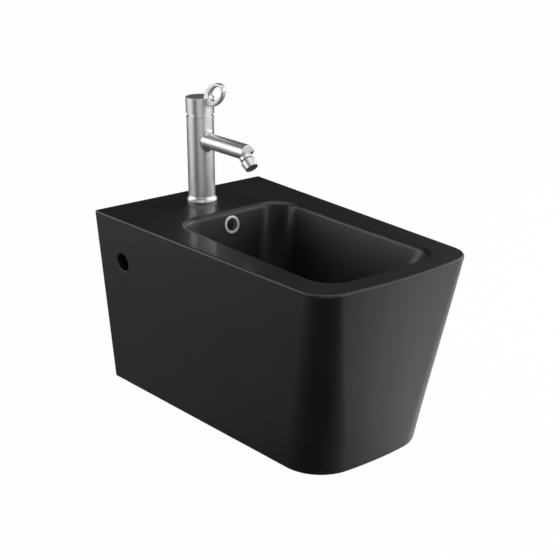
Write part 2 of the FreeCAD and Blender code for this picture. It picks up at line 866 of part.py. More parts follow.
def waste_fitting():
    gasket = s.gasket_thickness
    flange = s.waste_flange_radius
    top = gasket + s.waste_flange_thickness
    shank, bore = s.shank_radius, s.shank_bore_radius
    edge = s.waste_flange_thickness / 2
    outline = [
        (s.tail_bore_radius, -s.shank_length - s.tail_length),
        (s.tail_radius, -s.shank_length - s.tail_length),
        (s.tail_radius, -s.shank_length),
        (shank, -s.shank_length),
        (shank, gasket),
        (flange, gasket),
        (flange, top - edge, edge, -1),
        (flange - edge, top),
        (s.waste_throat_radius, top),
        (bore, gasket - s.waste_flange_thickness),
        (bore, -s.shank_length + s.tail_funnel),
        (s.tail_bore_radius, -s.shank_length),
    ]
    tube = turned("waste_tube", outline, waste_spot())
    slots = []
    for place in range(WASTE_SLOTS):
        slot = doc.addObject("Part::Box", "waste_slot_%d" % (place + 1))
        slot.Length, slot.Width, slot.Height = ((s.shank_radius + s.cut_overrun).number,
                                               s.slot_width.number, s.slot_height.number)
        bind(slot, "Length", s.shank_radius + s.cut_overrun)
        bind(slot, "Width", s.slot_width)
        bind(slot, "Height", s.slot_height)
        angle = 360 * (place + 0.5) / WASTE_SLOTS
        turn = Rotation(Vector(0, 0, 1), angle)
        corner = Vector(*[number(c) for c in waste_spot(-s.slot_top - s.slot_height)])
        slot.Placement = Placement(corner + turn.multVec(Vector(0, -s.slot_width.number / 2, 0)),
                                   turn)
        slots.append(slot)
    slotted = cut("waste_slotted_tube", tube, slots)

    low = -s.spider_depth - s.spider_thickness
    hub = ring("waste_hub", s.latch_radius + s.latch_fit, s.spider_ring_radius, low,
               -s.spider_depth, waste_spot())
    arms = []
    for place in range(SPIDER_ARMS):
        arm = doc.addObject("Part::Box", "waste_arm_%d" % (place + 1))
        reach = (bore - s.spider_ring_radius).number + edge.number
        arm.Length, arm.Width, arm.Height = (reach, s.spider_arm_width.number,
                                            s.spider_thickness.number)
        turn = Rotation(Vector(0, 0, 1), 90 + 360 * place / SPIDER_ARMS)
        corner = Vector(*[number(c) for c in waste_spot(low)])
        inset = (s.spider_ring_radius - edge / 2).number
        arm.Placement = Placement(
            corner + turn.multVec(Vector(inset, -s.spider_arm_width.number / 2, 0)), turn)
        arms.append(arm)
    body = fused("waste_body", [slotted, hub] + arms)

    latch_top = s.latch_rise
    sleeve = ring("latch_sleeve", s.plug_stem_radius + s.latch_fit, s.latch_radius,
                  latch_top - s.latch_length, latch_top, waste_spot())
    latch_rib = ring("latch_rib", s.latch_radius, s.spider_ring_radius, -s.spider_depth,
                     -s.spider_depth + s.latch_rise, waste_spot())
    latch = fused("click_cartridge", [sleeve, latch_rib])

    under = top + s.plug_seal_thickness + s.plug_gap + s.plug_travel
    crown = under + s.plug_edge_thickness + s.plug_crown
    rim_round = s.plug_edge_thickness / 2
    dome = crown_radius(s.plug_radius - rim_round, s.plug_crown)
    stem = s.plug_stem_radius
    outline = [
        (0, latch_top - s.latch_length / 2),
        (stem, latch_top - s.latch_length / 2),
        (stem, under),
        (s.plug_radius, under),
        (s.plug_radius, under + rim_round, rim_round, -1),
        (s.plug_radius - rim_round, under + s.plug_edge_thickness, dome, -1),
        (0, crown),
    ]
    plug = turned("waste_plug", outline, waste_spot())
    seal = ring("plug_seal", s.plug_seal_inner, s.plug_seal_outer,
                under - s.plug_seal_thickness, under, waste_spot())

    gasket_ring = ring("flange_gasket", shank + s.waste_fit, flange, 0, gasket, waste_spot())
    low = -s.waste_boss_height
    cone = turned("boss_seal", [(shank + s.waste_fit, low - s.boss_seal_height),
                                (s.boss_seal_tip_radius, low - s.boss_seal_height),
                                (s.boss_seal_radius, low - s.boss_seal_height / 2),
                                (s.boss_seal_radius, low),
                                (shank + s.waste_fit, low)], waste_spot())
    low = low - s.boss_seal_height
    washer = ring("slip_washer", shank + s.waste_fit, s.slip_washer_radius,
                  low - s.slip_washer_thickness, low, waste_spot())
    low = low - s.slip_washer_thickness - s.waste_nut_height
    nut = cut("waste_nut",
              hexagon("waste_nut_blank", s.waste_nut_radius, s.waste_nut_height, waste_spot(low)),
              [rod("waste_nut_thread", shank + s.waste_fit, s.waste_nut_height + 2 * s.cut_overrun,
                   waste_spot(low - s.cut_overrun))])
    return [body, latch, plug, seal, gasket_ring, cone, washer, nut]


def crown_radius(half_chord, rise):
    return (half_chord * half_chord + rise * rise) / (2 * rise)


# Tap, measured up from the deck at its own axis

def tap_spot(x=0, y=0, height=0):
    return (x, y - s.tap_from_wall, s.rim_above_bolts + height)


def chamber_floor():
    return s.spout_height + s.spout_bore_radius + s.chamber_floor_above_spout_bore


def cartridge_top():
    return chamber_floor() + 2 * s.port_seal_section + s.cartridge_height


def column_top():
    return cartridge_top() + s.nut_overlap_fit + s.nut_height + s.column_above_nut


def pivot_height():
    # The height at which the lever's pin crosses the cartridge.
    return cartridge_top() + s.cartridge_neck_height + s.pivot_above_neck


def cap_bottom():
    return pivot_height() + s.cap_above_pivot


def cap_top():
    return cap_bottom() + s.cap_height


def boss_bottom():
    return cap_bottom() + s.boss_above_cap_foot


def grub_height():
    return boss_bottom() + s.grub_above_boss_foot


def loop_centre_height():
    return cap_top() + s.loop_centre_above_cap


def tap_column():
    foot = s.foot_gasket_thickness
    band = foot + s.tap_foot_band
    outline = [
        (0, -s.tap_spigot_length),
        (s.tap_spigot_radius, -s.tap_spigot_length),
        (s.tap_spigot_radius, foot),
        (s.tap_foot_radius, foot),
        (s.tap_foot_radius, band, s.tap_flare_round, 1),
        (s.column_radius, s.tap_flare_height),
        (s.column_radius, column_top()),
        (0, column_top()),
    ]
    body = turned("tap_casting", outline, tap_spot())
    arm = body.newObject("Sketcher::SketchObject", "spout_section")
    arm.AttachmentSupport = [(origin_plane(body, "XZ_Plane"), "")]
    arm.MapMode = "FlatFace"
    height = s.spout_height.number
    circle = Part.Circle(Vector(0, height, 0), Vector(0, 0, 1), s.spout_radius.number)
    arm.addGeometry(circle, False)
    arm.addConstraint(Sketcher.Constraint("PointOnObject", 0, 3, -2))
    mark = arm.addConstraint(Sketcher.Constraint("DistanceY", -1, 1, 0, 3, height))
    bind(arm, "Constraints[%d]" % mark, s.spout_height)
    mark = arm.addConstraint(Sketcher.Constraint("Radius", 0, s.spout_radius.number))
    bind(arm, "Constraints[%d]" % mark, s.spout_radius)
    pad = body.newObject("PartDesign::Pad", "spout_arm")
    pad.Profile = arm
    pad.Length = s.seam_from_axis.number
    bind(pad, "Length", s.seam_from_axis)
    body.Tip = pad
    doc.recompute()
    root = [("Edge%d" % (place + 1)) for place, edge in enumerate(pad.Shape.Edges)
            if is_spout_root(edge)]
    soft = body.newObject("PartDesign::Fillet", "spout_root")
    soft.Base = (pad, root)
    soft.Radius = s.spout_root_round.number
    bind(soft, "Radius", s.spout_root_round)
    body.Tip = soft
    return body


def is_spout_root(edge):
    # The saddle line where the arm leaves the column.
    span = edge.BoundBox
    low = (s.spout_height - s.spout_radius).number - TOUCH
    high = (s.spout_height + s.spout_radius).number + TOUCH
    return (span.YMax < 0 and span.YMin > -s.column_radius.number - TOUCH
            and span.YLength > TOUCH and span.ZMin > low and span.ZMax < high)


def tap_body():
    floor = chamber_floor()
    low = -s.tap_spigot_length
    seat = column_top() - s.chamber_thread_depth
    tools = [rod("cartridge_chamber", s.chamber_radius, column_top() - floor + s.cut_overrun,
                 tap_spot(0, 0, floor)),
             rod("nut_thread", s.chamber_thread_radius, s.chamber_thread_depth + s.cut_overrun,
                 tap_spot(0, 0, seat))]
    for side, name in ((-1, "hot"), (1, "cold")):
        x = side * s.inlet_offset_x
        tools.append(rod("inlet_" + name, s.inlet_radius, s.inlet_depth + s.cut_overrun,
                         tap_spot(x, s.inlet_offset_y, low - s.cut_overrun)))
        tools.append(rod("channel_" + name, s.channel_radius, floor - low + s.cut_overrun,
                         tap_spot(x, s.inlet_offset_y, low)))
    tools.append(rod("stud_hole", s.stud_radius + s.stud_fit, s.stud_depth - low + s.cut_overrun,
                     tap_spot(0, -s.stud_offset, low - s.cut_overrun)))
    tools.append(rod("mixed_channel", s.channel_radius, floor - s.spout_height + s.cut_overrun,
                     tap_spot(0, -s.port_outlet_offset, s.spout_height)))
    tools.append(rod("spout_bore", s.spout_bore_radius, s.seam_from_axis + s.cut_overrun,
                     tap_spot(0, -s.channel_radius, s.spout_height), TO_FRONT))
    return cut("tap_body", tap_column(), tools)


def tap_fixing():
    gasket = ring("tap_gasket", s.foot_gasket_inner_radius,
                  s.tap_foot_radius - s.foot_gasket_overhang, 0, s.foot_gasket_thickness,
                  tap_spot())
    stud = rod("fixing_stud", s.stud_radius, s.stud_length,
               tap_spot(0, -s.stud_offset, s.stud_depth - s.stud_length))
    pieces = [gasket, stud]
    under = -s.deck_thickness
    for label, thick in (("horseshoe_pad", s.horseshoe_pad_thickness),
                         ("horseshoe_plate", s.horseshoe_plate_thickness)):
        low = under - thick
        disc = rod(label + "_disc", s.horseshoe_radius, thick, tap_spot(0, 0, low))
        hole = rod(label + "_hole", s.stud_radius + s.horseshoe_fit, thick + 2 * s.cut_overrun,
                   tap_spot(0, -s.stud_offset, low - s.cut_overrun))
        half = s.horseshoe_slot_half_width
        slot = block(label + "_slot", tap_spot(-half, s.inlet_offset_y - s.inlet_radius, low - s.cut_overrun),
                     tap_spot(half, s.horseshoe_radius + s.cut_overrun, under + s.cut_overrun))
        pieces.append(cut(label, disc, [hole, slot]))
        under = low
    blank = hexagon("stud_nut_blank", s.stud_nut_radius, s.stud_nut_height,
                    tap_spot(0, -s.stud_offset, under - s.stud_nut_height))
    thread = rod("stud_nut_thread", s.stud_radius + s.stud_fit, s.stud_nut_height + 2 * s.cut_overrun,
                 tap_spot(0, -s.stud_offset, under - s.stud_nut_height - s.cut_overrun))
    pieces.append(cut("stud_nut", blank, [thread]))
    return pieces


# Spout and its swivel aerator. The swivel's axis meets the spout's axis near the end and
# slopes down and forwards. Along it, places are measured from that meeting point.

def swivel_turn():
    return Rotation(Vector(1, 0, 0), 90 + s.swivel_angle.number)


def swivel_origin():
    return Vector(*[number(c) for c in tap_spot(
        0, -s.seam_from_axis - s.nozzle_length + s.swivel_from_end, s.spout_height)])


def on_swivel(thing):
    thing.Placement = Placement(swivel_origin(), swivel_turn())
    return thing


def spout_nozzle():
    length, radius, bore = s.nozzle_length, s.spout_radius, s.nozzle_bore_radius
    tenon = s.spout_bore_radius - s.tenon_fit
    groove = s.spout_bore_radius - 2 * (s.spout_seal_section + s.spout_seal_fit)
    seal = s.spout_seal_from_end
    land = s.spout_seal_land
    nose = s.nozzle_end_round
    outline = [
        (bore, -s.tenon_length),
        (tenon, -s.tenon_length),
        (tenon, -s.tenon_length + seal - land),
        (groove, -s.tenon_length + seal - land),
        (groove, -s.tenon_length + seal + land),
        (tenon, -s.tenon_length + seal + land),
        (tenon, 0),
        (radius - s.seam_chamfer, 0),
        (radius, s.seam_chamfer),
        (radius, length - nose, nose, -1),
        (radius - nose, length),
        (0, length),
        (0, length - s.nozzle_end_wall),
        (bore, length - s.nozzle_end_wall),
    ]
    blank = turned("nozzle_blank", outline, tap_spot(0, -s.seam_from_axis, s.spout_height),
                   TO_FRONT)
    face = doc.addObject("Part::Cylinder", "swivel_face")
    face.Radius = face.Height = s.nozzle_length.number
    bind(face, "Radius", s.nozzle_length)
    bind(face, "Height", s.nozzle_length)
    lift = swivel_turn().multVec(Vector(0, 0, s.spout_face_offset.number))
    face.Placement = Placement(swivel_origin() + lift, swivel_turn())
    socket = on_swivel(doc.addObject("Part::Cylinder", "swivel_socket"))
    socket.Radius = (s.socket_thread_radius + s.socket_fit).number
    socket.Height = (s.spout_face_offset + s.cut_overrun).number
    bind(socket, "Radius", s.socket_thread_radius + s.socket_fit)
    bind(socket, "Height", s.spout_face_offset + s.cut_overrun)
    return cut("spout_nozzle", blank, [face, socket])


def spout_seal():
    middle = s.spout_bore_radius - s.spout_seal_section - s.spout_seal_fit
    place = s.seam_from_axis - s.tenon_length + s.spout_seal_from_end
    return torus("spout_seal", middle, s.spout_seal_section,
                 tap_spot(0, -place, s.spout_height), TO_FRONT)


def ball_centre():
    return s.spout_face_offset + s.collar_length + s.ball_from_collar


def sphere_width(radius, height):
    # Half the width of a ball at a height above or below its middle.
    gap = radius.number ** 2 - number(height) ** 2
    text = "sqrt(%s ^ 2 - %s ^ 2)" % (radius.formula, formula(height))
    return Size(math.sqrt(gap), text)


def swivel_stem():
    face, centre = s.spout_face_offset, ball_centre()
    thread, collar, neck, bore = (s.socket_thread_radius, s.collar_radius, s.neck_radius,
                                  s.ball_bore_radius)
    top = face - s.socket_thread_length
    edge = s.collar_edge_round
    ball = s.ball_radius
    neck_height = sphere_width(ball, neck)
    outline = [
        (bore, top),
        (thread, top),
        (thread, face),
        (collar, face),
        (collar, face + s.collar_length - edge, edge, -1),
        (collar - edge, face + s.collar_length),
        (neck, face + s.collar_length),
        (neck, centre - neck_height, ball, -1),
        (ball, centre, ball, -1),
        (sphere_width(ball, s.ball_flat), centre + s.ball_flat),
        (bore, centre + s.ball_flat),
    ]
    return on_swivel(turned("swivel_stem", outline))


def ball_seat():
    centre = ball_centre()
    inner = s.ball_radius + s.seat_clearance
    outer = inner + s.seat_thickness
    up, down = s.seat_above_centre, s.seat_below_centre
    outline = [
        (sphere_width(inner, up), centre - up, inner, -1),
        (inner, centre, inner, -1),
        (sphere_width(inner, down), centre + down),
        (sphere_width(outer, down), centre + down, outer, 1),
        (outer, centre, outer, 1),
        (sphere_width(outer, up), centre - up),
    ]
    return on_swivel(turned("ball_seat", outline))


def aerator():
    centre = ball_centre()
    cup = s.ball_radius + 2 * s.seat_clearance + s.seat_thickness
    up, down = s.socket_above_centre, s.socket_below_centre
    lip, lip_top = s.housing_lip_radius, centre - s.housing_lip_above_centre
    end = centre + s.housing_length_below_centre
    mouth, edge = s.housing_mouth_radius, s.housing_mouth_round
    bore = s.insert_radius + s.insert_gap
    outline = [
        (lip, lip_top),
        (lip + s.housing_lip_land, lip_top),
        (s.housing_radius, centre - s.housing_shoulder_above_centre),
        (mouth, end - edge, edge, -1),
        (mouth - edge, end),
        (bore, end),
        (bore, centre + down),
        (sphere_width(cup, down), centre + down, cup, 1),
        (cup, centre, cup, 1),
        (sphere_width(cup, up), centre - up),
        (lip, centre - up),
    ]
    housing = on_swivel(turned("aerator_housing", outline))
    seal_low = centre + down + s.insert_gap
    outer = s.insert_radius
    seal = on_swivel(ring("aerator_seal", outer - s.aerator_seal_width, outer, seal_low,
                          seal_low + s.aerator_seal_thickness))
    low = end - s.insert_recess - s.insert_thickness
    high = end - s.insert_recess
    cup_outline = [(0, high - s.insert_floor), (outer - s.insert_rim, high - s.insert_floor),
                   (outer - s.insert_rim, low), (outer, low), (outer, high), (0, high)]
    blank = on_swivel(turned("insert_blank", cup_outline))
    holes = []
    for place in range(INSERT_HOLES + 1):
        hole = doc.addObject("Part::Cylinder", "insert_hole_%d" % (place + 1))
        hole.Radius = s.insert_hole_radius.number
        bind(hole, "Radius", s.insert_hole_radius)
        hole.Height = (s.insert_floor + 2 * s.cut_overrun).number
        out = s.insert_hole_circle.number if place else 0
        angle = 2 * math.pi * place / INSERT_HOLES
        local = Vector(out * math.cos(angle), out * math.sin(angle),
                       (high - s.insert_floor - s.cut_overrun).number)
        hole.Placement = Placement(swivel_origin() + swivel_turn().multVec(local), swivel_turn())
        holes.append(hole)
    return [housing, seal, cut("aerator_insert", blank, holes)]


# Cartridge and what holds it

def cartridge():
    low = chamber_floor() + 2 * s.port_seal_section
    top = cartridge_top()
    neck_top = top + s.cartridge_neck_height
    well = s.turret_radius + s.turret_fit
    outline = [
        (0, low),
        (s.cartridge_radius, low),
        (s.cartridge_radius, top),
        (s.cartridge_neck_radius, top),
        (s.cartridge_neck_radius, neck_top),
        (well, neck_top),
        (well, neck_top - s.turret_depth),
        (0, neck_top - s.turret_depth),
    ]
    shell = turned("cartridge_shell", outline, tap_spot())
    ports = [rod("port_mixed", s.channel_radius, s.port_depth + s.cut_overrun,
                 tap_spot(0, -s.port_outlet_offset, low - s.cut_overrun))]
    for side, name in ((-1, "hot"), (1, "cold")):
        ports.append(rod("port_" + name, s.channel_radius, s.port_depth + s.cut_overrun,
                         tap_spot(side * s.inlet_offset_x, s.inlet_offset_y, low - s.cut_overrun)))
    body = cut("cartridge_body", shell, ports)

    height = chamber_floor() + s.port_seal_section
    rings = [torus("port_seal_mixed", s.port_seal_radius, s.port_seal_section,
                   tap_spot(0, -s.port_outlet_offset, height))]
    for side, name in ((-1, "hot"), (1, "cold")):
        rings.append(torus("port_seal_" + name, s.port_seal_radius, s.port_seal_section,
                           tap_spot(side * s.inlet_offset_x, s.inlet_offset_y, height)))
    seals = group("port_seals", rings)

    floor = neck_top - s.turret_depth
    turret_top = neck_top + s.turret_above_neck
    barrel = rod("turret_barrel", s.turret_radius, turret_top - floor, tap_spot(0, 0, floor))
    half = s.stem_width / 2 + s.stem_fit
    slot = block("turret_slot",
                 tap_spot(-half, -s.turret_radius - s.cut_overrun, floor + s.turret_floor),
                 tap_spot(half, s.turret_radius + s.cut_overrun, turret_top + s.cut_overrun))
    reach = s.turret_radius + s.cut_overrun
    pin_hole = rod("turret_pin_hole", s.pin_radius, 2 * reach,
                   tap_spot(-reach, 0, pivot_height()), TO_RIGHT)
    turret = cut("cartridge_turret", barrel, [slot, pin_hole])
    pin_half = s.turret_radius - s.stem_fit
    pin = rod("turret_pin", s.pin_radius, 2 * pin_half,
              tap_spot(-pin_half, 0, pivot_height()), TO_RIGHT)

    bar = block("stem_bar",
                tap_spot(-s.stem_width / 2, -s.stem_depth / 2, pivot_height() - s.stem_below_pivot),
                tap_spot(s.stem_width / 2, s.stem_depth / 2, pivot_height() + s.stem_above_pivot))
    stem_hole = rod("stem_pin_hole", s.pin_radius + s.pin_fit, s.stem_width + 2 * s.cut_overrun,
                    tap_spot(-s.stem_width / 2 - s.cut_overrun, 0, pivot_height()), TO_RIGHT)
    stem = cut("cartridge_stem", bar, [stem_hole])

    nut_low = top + s.nut_overlap_fit
    inner = s.cartridge_neck_radius + s.nut_neck_gap
    nut_ring = ring("nut_ring", inner, s.nut_radius, nut_low, nut_low + s.nut_height, tap_spot())
    half = s.nut_slot_width / 2
    deep = nut_low + s.nut_height - s.nut_slot_depth
    high = nut_low + s.nut_height + s.cut_overrun
    reach = s.nut_radius + s.cut_overrun
    slots = [block("nut_slot_across", tap_spot(-reach, -half, deep), tap_spot(reach, half, high)),
             block("nut_slot_along", tap_spot(-half, -reach, deep), tap_spot(half, reach, high))]
    nut = cut("cartridge_nut", nut_ring, slots)
    return [body, seals, turret, pin, stem, nut]


# Handle: cover dome, cap with its loop lever, grub screw and its cover

def dome_cover():
    pivot, outer = pivot_height(), s.dome_radius
    inner = outer - s.dome_thickness
    foot = column_top() - pivot
    head = s.dome_top_above_pivot
    outline = [
        (sphere_width(inner, foot), foot),
        (sphere_width(outer, foot), foot, outer, -1),
        (outer, 0, outer, -1),
        (sphere_width(outer, head), head),
        (sphere_width(inner, head), head, inner, 1),
        (inner, 0, inner, 1),
    ]
    return turned("dome_cover", outline, tap_spot(0, 0, pivot))


def handle_cap():
    bore, edge = s.cap_bore_radius, s.cap_edge_round
    roof = cap_top() - s.cap_roof
    outline = [
        (bore, cap_bottom()),
        (s.cap_radius, cap_bottom()),
        (s.cap_radius, cap_top() - edge, edge, -1),
        (s.cap_radius - edge, cap_top()),
        (0, cap_top()),
        (0, boss_bottom()),
        (s.boss_radius, boss_bottom()),
        (s.boss_radius, roof),
        (bore, roof),
    ]
    return turned("handle_cap", outline, tap_spot())


def lever_loop():
    # A flat oval loop in the middle plane, its eye set towards the tip.
    angle = math.radians(s.loop_rise_angle.number)
    along = Vector(0, -math.cos(angle), math.sin(angle))
    across = Vector(1, 0, 0).cross(along)
    centre = Vector(*[number(c) for c in tap_spot(0, -s.loop_centre_forward,
                                                   loop_centre_height())])
    half = s.loop_thickness.number / 2
    start = centre - Vector(half, 0, 0)

    def oval(middle, long_half, short_half):
        ellipse = Part.Ellipse(middle + along * long_half, middle + across * short_half, middle)
        return Part.Face(Part.Wire([ellipse.toShape()])).extrude(Vector(2 * half, 0, 0))

    outer = oval(start, s.loop_half_length.number, s.loop_half_height.number)
    eye = oval(start + along * s.loop_hole_shift.number, s.loop_hole_half_length.number,
               s.loop_hole_half_height.number)
    loop = outer.cut(eye)
    rims = [edge for edge in loop.Edges
            if edge.BoundBox.XLength < TOUCH]
    return formed("lever_loop", loop.makeFillet(s.loop_edge_round.number, rims))


def rear_relief():
    # The cap's lower edge rises behind the pivot, so that it clears the column when lifted.
    reach = (s.cap_radius + s.cut_overrun).number
    rise = reach * math.tan(math.radians(s.cap_rear_relief_angle.number))
    low = (cap_bottom() - s.cut_overrun).number
    spot = Vector(*[number(c) for c in tap_spot()])
    corners = [Vector(-reach, 0, low), Vector(-reach, 0, cap_bottom().number),
               Vector(-reach, reach, cap_bottom().number + rise), Vector(-reach, reach, low)]
    face = Part.Face(Part.makePolygon([spot + c for c in corners] + [spot + corners[0]]))
    return formed("cap_rear_relief", face.extrude(Vector(2 * reach, 0, 0)))


def handle():
    hub = fused("handle_casting", [handle_cap(), lever_loop_outside()], False)
    grip = s.stem_grip_fit
    socket = block("stem_socket",
                   tap_spot(-s.stem_width / 2 - grip, -s.stem_depth / 2 - grip,
                            boss_bottom() - s.cut_overrun),
                   tap_spot(s.stem_width / 2 + grip, s.stem_depth / 2 + grip,
                            pivot_height() + s.stem_above_pivot + grip))
    thread = rod("grub_thread", s.grub_radius + s.grub_fit, s.cap_bore_radius,
                 tap_spot(0, 0, grub_height()), TO_FRONT)
    access = rod("grub_access", s.grub_access_radius, s.cap_radius,
                 tap_spot(0, -s.boss_radius, grub_height()), TO_FRONT)
    body = cut("handle", hub, [socket, thread, access, rear_relief()], False)

    start = s.stem_depth / 2 + grip
    length = s.grub_length
    blank = rod("grub_blank", s.grub_radius, length, tap_spot(0, -start, grub_height()), TO_FRONT)
    key = hexagon("grub_key", s.grub_radius / 2, length / 2 + s.cut_overrun,
                  tap_spot(0, -start - length / 2, grub_height()), TO_FRONT)
    grub = cut("grub_screw", blank, [key])
    face = s.cap_radius + s.cover_proud
    dome = crown_radius(s.cover_radius, s.cover_proud)
    outline = [(0, face - s.cover_length), (s.cover_radius, face - s.cover_length),
               (s.cover_radius, face - s.cover_proud, dome, -1), (0, face)]
    cover = turned("grub_cover", outline, tap_spot(0, 0, grub_height()), TO_FRONT)
    return [body, grub, cover]


def lever_loop_outside():
    # The part of the loop that stands outside the cap's own wall and roof.
    loop = lever_loop()
    half = s.loop_thickness
    well = block("cap_well", tap_spot(-half, -s.cap_bore_radius, cap_bottom()),
                 tap_spot(half, s.cap_bore_radius, cap_top() - s.cap_roof / 2))
    return cut("lever_loop_outside", loop, [well], False)


def build():
    pieces = [ceramic_body(), overflow_ring()]
    pieces += wall_fixings()
    pieces += waste_fitting()
    pieces += [tap_body()] + tap_fixing()
    pieces += [spout_nozzle(), spout_seal(), swivel_stem(), ball_seat()] + aerator()
    pieces += cartridge()
    pieces += [dome_cover()] + handle()
    doc.recompute()
    return pieces


def check(pieces):
    for thing in doc.Objects:
        if "Invalid" in thing.State or "Error" in thing.State:
            raise RuntimeError("%s did not build: %s" % (thing.Label, thing.State))
    for piece in pieces:
        if piece.Shape.isNull() or not piece.Shape.isValid() or not piece.Shape.Solids:
            raise RuntimeError("%s is not a sound solid" % piece.Label)


pieces = build()
check(pieces)
os.makedirs("parts", exist_ok=True)
for piece in pieces:
    piece.Shape.exportStep(os.path.join("parts", piece.Label + ".step"))
    print("%-18s %d solid(s) %9.1f mm3" % (piece.Label, len(piece.Shape.Solids),
                                           piece.Shape.Volume))
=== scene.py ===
import bpy
import json
import math
from mathutils import Matrix, Vector


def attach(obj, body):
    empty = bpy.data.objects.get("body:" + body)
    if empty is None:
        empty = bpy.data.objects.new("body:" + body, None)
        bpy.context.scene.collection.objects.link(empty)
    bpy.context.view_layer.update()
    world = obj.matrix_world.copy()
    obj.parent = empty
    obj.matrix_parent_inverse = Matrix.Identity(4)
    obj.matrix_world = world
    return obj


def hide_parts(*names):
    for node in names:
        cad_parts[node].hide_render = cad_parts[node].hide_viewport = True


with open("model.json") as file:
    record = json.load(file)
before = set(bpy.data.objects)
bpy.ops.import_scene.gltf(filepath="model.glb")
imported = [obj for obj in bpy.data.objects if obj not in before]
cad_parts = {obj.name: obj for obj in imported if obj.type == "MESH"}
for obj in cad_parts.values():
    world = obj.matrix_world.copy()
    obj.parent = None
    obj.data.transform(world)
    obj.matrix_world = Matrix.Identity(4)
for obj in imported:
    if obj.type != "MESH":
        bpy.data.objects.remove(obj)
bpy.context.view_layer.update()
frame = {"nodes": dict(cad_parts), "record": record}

cadNodes = frame["nodes"]
bodyOf = {n: b for b, names in frame["record"]["behaviour"]["bodies"].items() for n in names}
scene = bpy.context.scene
scene.view_settings.view_transform = "Standard"
print("frame loaded:", len(cadNodes), "CAD nodes")

# The camera stands where the photograph was taken from
camera = {
    "position": (-1.10153, -1.63973, 0.63765),  # metres, in the CAD frame
    "yaw": -39.036,  # degrees from straight on
    "pitch": 20.309,  # degrees, looking down
    "roll": 0.018,
    "lens": 72.926,  # mm, on a 36 mm sensor
    "near": 0.05,  # metres, nearest and farthest that it sees
    "far": 60,
}


def placeCamera(c):
    data = bpy.data.cameras.new("photoCamera")
    data.lens = c["lens"]
    data.clip_start, data.clip_end = c["near"], c["far"]
    shot = bpy.data.objects.new("photoCamera", data)
    scene.collection.objects.link(shot)
    yaw, pitch, roll = (math.radians(c[k]) for k in ("yaw", "pitch", "roll"))
    back = Vector((math.sin(yaw) * math.cos(pitch), -math.cos(yaw) * math.cos(pitch),
                   math.sin(pitch)))
    right = Vector((math.cos(yaw), math.sin(yaw), 0))
    up = back.cross(right)
    tiltedRight = right * math.cos(roll) + up * math.sin(roll)
    tiltedUp = up * math.cos(roll) - right * math.sin(roll)
    turn = Matrix((tiltedRight, tiltedUp, back)).transposed()
    shot.matrix_world = Matrix.Translation(c["position"]) @ turn.to_4x4()
    scene.camera = shot


placeCamera(camera)


def linearColour(hexText):
    # An sRGB colour as the linear values that a shader takes
    parts = [int(hexText[i:i + 2], 16) / 255 for i in (1, 3, 5)]
    return (*[c / 12.92 if c <= 0.04045 else ((c + 0.055) / 1.055) ** 2.4 for c in parts], 1)


def addNode(tree, kind, settings=None, links=None):
    node = tree.nodes.new(kind)
    for name, value in (settings or {}).items():
        if isinstance(name, str) and hasattr(node, name):
            setattr(node, name, value)
        else:
            node.inputs[name].default_value = value
    for name, source in (links or {}).items():
        tree.links.new(source, node.inputs[name])
    return node


def newMaterial(name):
    material = bpy.data.materials.new(name)
    material.use_nodes = True
    tree = material.node_tree
    tree.nodes.clear()
    shader = addNode(tree, "ShaderNodeBsdfPrincipled")
    addNode(tree, "ShaderNodeOutputMaterial", {}, {"Surface": shader.outputs["BSDF"]})
    place = addNode(tree, "ShaderNodeTexCoord").outputs["Object"]
    return material, tree, shader, place


def joinNormal(tree, shader, depth, height):
    bump = addNode(tree, "ShaderNodeBump", {"Strength": 1.0, "Distance": depth / 1000},
                   {"Height": height.outputs["Fac"]})
    tree.links.new(bump.outputs["Normal"], shader.inputs["Normal"])


def joinColour(tree, shader, first, second, share):
    # In a Mix node of colours, sockets 6 and 7 are the two colours and output 2 is the mix
    mix = addNode(tree, "ShaderNodeMix", {"data_type": "RGBA"}, {0: share.outputs["Fac"]})
    mix.inputs[6].default_value = linearColour(first)
    mix.inputs[7].default_value = linearColour(second)
    tree.links.new(mix.outputs[2], shader.inputs["Base Color"])


def joinRoughness(tree, shader, smoothest, roughest, share):
    sheen = addNode(tree, "ShaderNodeMapRange", {"To Min": smoothest, "To Max": roughest},
                    {"Value": share.outputs["Fac"]})
    tree.links.new(sheen.outputs["Result"], shader.inputs["Roughness"])


# Vitreous china, sprayed with a satin black glaze and fired: a deep black that carries
# soft reflections under a thin clear skin, with a faint orange peel where it settled.
blackGlaze = {
    "colour": "#0F0F10",
    "paleColour": "#151517",  # where the glaze lies thinner
    "smoothest": 0.40,
    "roughest": 0.48,
    "skin": 0.25,  # share of the clear top skin of the glaze
    "skinRoughness": 0.12,
    "ior": 1.54,
    "peelWidth": 3.2,  # mm, across one dimple
    "peelDepth": 0.012,  # mm
    "cloudWidth": 60,  # mm, across one patch of thinner glaze
}


def makeGlaze(g):
    material, tree, shader, place = newMaterial("glazedVitreousChina")
    cloud = addNode(tree, "ShaderNodeTexNoise",
                    {"Scale": 1000 / g["cloudWidth"], "Detail": 2.0}, {"Vector": place})
    joinColour(tree, shader, g["colour"], g["paleColour"], cloud)
    joinRoughness(tree, shader, g["smoothest"], g["roughest"], cloud)
    peel = addNode(tree, "ShaderNodeTexNoise",
                   {"Scale": 1000 / g["peelWidth"], "Detail": 1.0}, {"Vector": place})
    joinNormal(tree, shader, g["peelDepth"], peel)
    shader.inputs["IOR"].default_value = g["ior"]
    shader.inputs["Coat Weight"].default_value = g["skin"]
    shader.inputs["Coat Roughness"].default_value = g["skinRoughness"]
    return material


# Brass, polished and plated with nickel and chrome: a cool, soft mirror with the slight
# waviness of the polishing wheel.
platedChrome = {
    "colour": "#E2E2E3",
    "smoothest": 0.288,
    "roughest": 0.468,
    "waveWidth": 14,  # mm
    "waveDepth": 0.010,  # mm
    "hazeWidth": 1.2,  # mm, wiping marks
}


